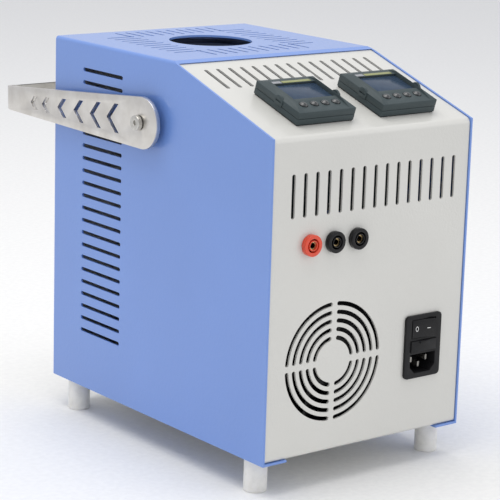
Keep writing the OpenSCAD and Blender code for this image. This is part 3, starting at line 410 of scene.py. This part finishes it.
# Fan. A moulded black frame carries a wound motor core, and a hub with seven blades turns on
# it behind the ring slots.
finish(frame["nodes"]["fan_frame"], black)
finish(frame["nodes"]["fan_rotor"], black)
copper = Paint("wound_copper", (0.45, 0.20, 0.10), 0.4, Metallic=1.0)
windings = copper.noise(0.0006, 1.0, (1, 0.1, 1))
copper.feed("Base Color", copper.mix(windings, (0.55, 0.26, 0.13), (0.30, 0.12, 0.06)))
copper.bump(windings, 0.0002)
finish(frame["nodes"]["fan_stator"], copper)

# Mains inlet module. A black moulded flange holds a rocker, a fuse drawer and the recess with
# three plated pins. The rocker has its two marks printed in white.
finish(eased("inlet_housing", 0.0005, 3), black)
finish(eased("rocker", 0.0004, 2), gloss_black)
finish(eased("fuse_drawer", 0.0003, 2), black)
pin_plate = Paint("dull_nickel", (0.30, 0.29, 0.27), 0.38, Metallic=1.0)
pin_plate.feed("Roughness", pin_plate.noise(0.0015, 2.0) * 0.2 + 0.3)
finish(eased("inlet_pins", 0.0005, 2), pin_plate)
print_white = Paint("white_print", (0.75, 0.75, 0.74), 0.5)
print_white.feed("Roughness", print_white.noise(0.001, 2.0) * 0.2 + 0.4)
PANEL_FACE_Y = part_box("front_panel")[0].y
RING_OUT = 2.17e-3
RING_INSET = 4.2e-3
DASH_OUT = 3.56e-3
DASH_ACROSS = 9.6e-3
ROCKER_TILT = math.radians(16)
rocker_low, rocker_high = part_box("rocker")
mark_z = (rocker_low.z + rocker_high.z) / 2
left_x = rocker_low.x + RING_INSET
bpy.ops.mesh.primitive_torus_add(major_radius=1.35e-3, minor_radius=0.22e-3,
                                 major_segments=40, minor_segments=8)
ring = bpy.context.object
ring.name = "rocker_mark_o"
bpy.ops.object.mode_set(mode="EDIT")
bpy.ops.transform.resize(value=(0.85, 1.15, 0.3))
bpy.ops.object.mode_set(mode="OBJECT")
bpy.ops.object.shade_smooth()
ring.data.transform(Matrix.Translation((left_x, PANEL_FACE_Y - RING_OUT, mark_z))
                    @ Matrix.Rotation(math.radians(90), 4, "X"))
dash = rounded_plate("rocker_mark_i", 2.6e-3, 0.5e-3, 0.12e-3, 0.1e-3, 0.03e-3)
dash.data.transform(
    Matrix.Translation((left_x + DASH_ACROSS, PANEL_FACE_Y - DASH_OUT, mark_z))
    @ Matrix.Rotation(math.radians(90), 4, "X") @ Matrix.Rotation(-ROCKER_TILT, 4, "Y"))
for mark in (ring, dash):
    finish(mark, print_white)
    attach(mark, "rocker")

# Heating core. An aluminium block with cartridge heaters and two probes stands in a lagged
# steel can, and its drilled insert lifts out through the hole in the cover.
alloy = Paint("machined_alloy", (0.56, 0.57, 0.58), 0.36, Metallic=1.0)
cutter = alloy.noise(0.0004, 2.0, (1, 1, 0.2))
alloy.feed("Roughness", cutter * 0.2 + 0.28)
alloy.feed("Base Color", alloy.mix(alloy.noise(0.01, 3.0), (0.60, 0.61, 0.62), (0.45, 0.46, 0.47)))
alloy.bump(cutter, 0.00003, 0.5)
finish(eased("insert_block", 0.0005, 2), alloy)
for node in ("heating_block", "heat_sink"):
    finish(frame["nodes"][node], alloy)
for node in ("core_can", "cartridge_heaters", "temperature_probes"):
    finish(frame["nodes"][node], satin)
lagging = Paint("ceramic_fibre", (0.72, 0.70, 0.64), 0.95)
fibres = lagging.noise(0.0015, 4.0, (1, 1, 0.3))
lagging.feed("Base Color", lagging.mix(fibres, (0.78, 0.76, 0.70), (0.58, 0.56, 0.50)))
lagging.bump(fibres, 0.0008)
for node in ("block_lagging", "base_lagging"):
    finish(frame["nodes"][node], lagging)
# The well collar is dark mica board. Its deep navy tint is painted shade for the dim inside of the
# hole in the cover.
navy_shaded_mica = Paint("mica_board_with_painted_navy_shade", (0.006, 0.013, 0.036), 0.5)
layers = navy_shaded_mica.noise(0.0012, 3.0, (0.4, 0.4, 2))
navy_shaded_mica.feed("Base Color", navy_shaded_mica.mix(layers, (0.005, 0.011, 0.032), (0.010, 0.020, 0.050)))
navy_shaded_mica.feed("Roughness", layers * 0.3 + 0.35)
finish(frame["nodes"]["well_collar"], navy_shaded_mica)
phenolic = Paint("brown_phenolic", (0.075, 0.045, 0.025), 0.4)
phenolic.feed("Roughness", phenolic.noise(0.002, 2.0) * 0.2 + 0.3)
finish(frame["nodes"]["thermal_cutout"], phenolic)

# Power parts. A solid-state relay sits on the finned heat sink, with a moulded terminal block
# beside it on the base.
finish(frame["nodes"]["solid_state_relay"], black)
pale = Paint("pale_moulding", (0.66, 0.65, 0.60), 0.5)
pale.feed("Roughness", pale.noise(0.001, 2.0) * 0.2 + 0.4)
finish(frame["nodes"]["terminal_block"], pale)
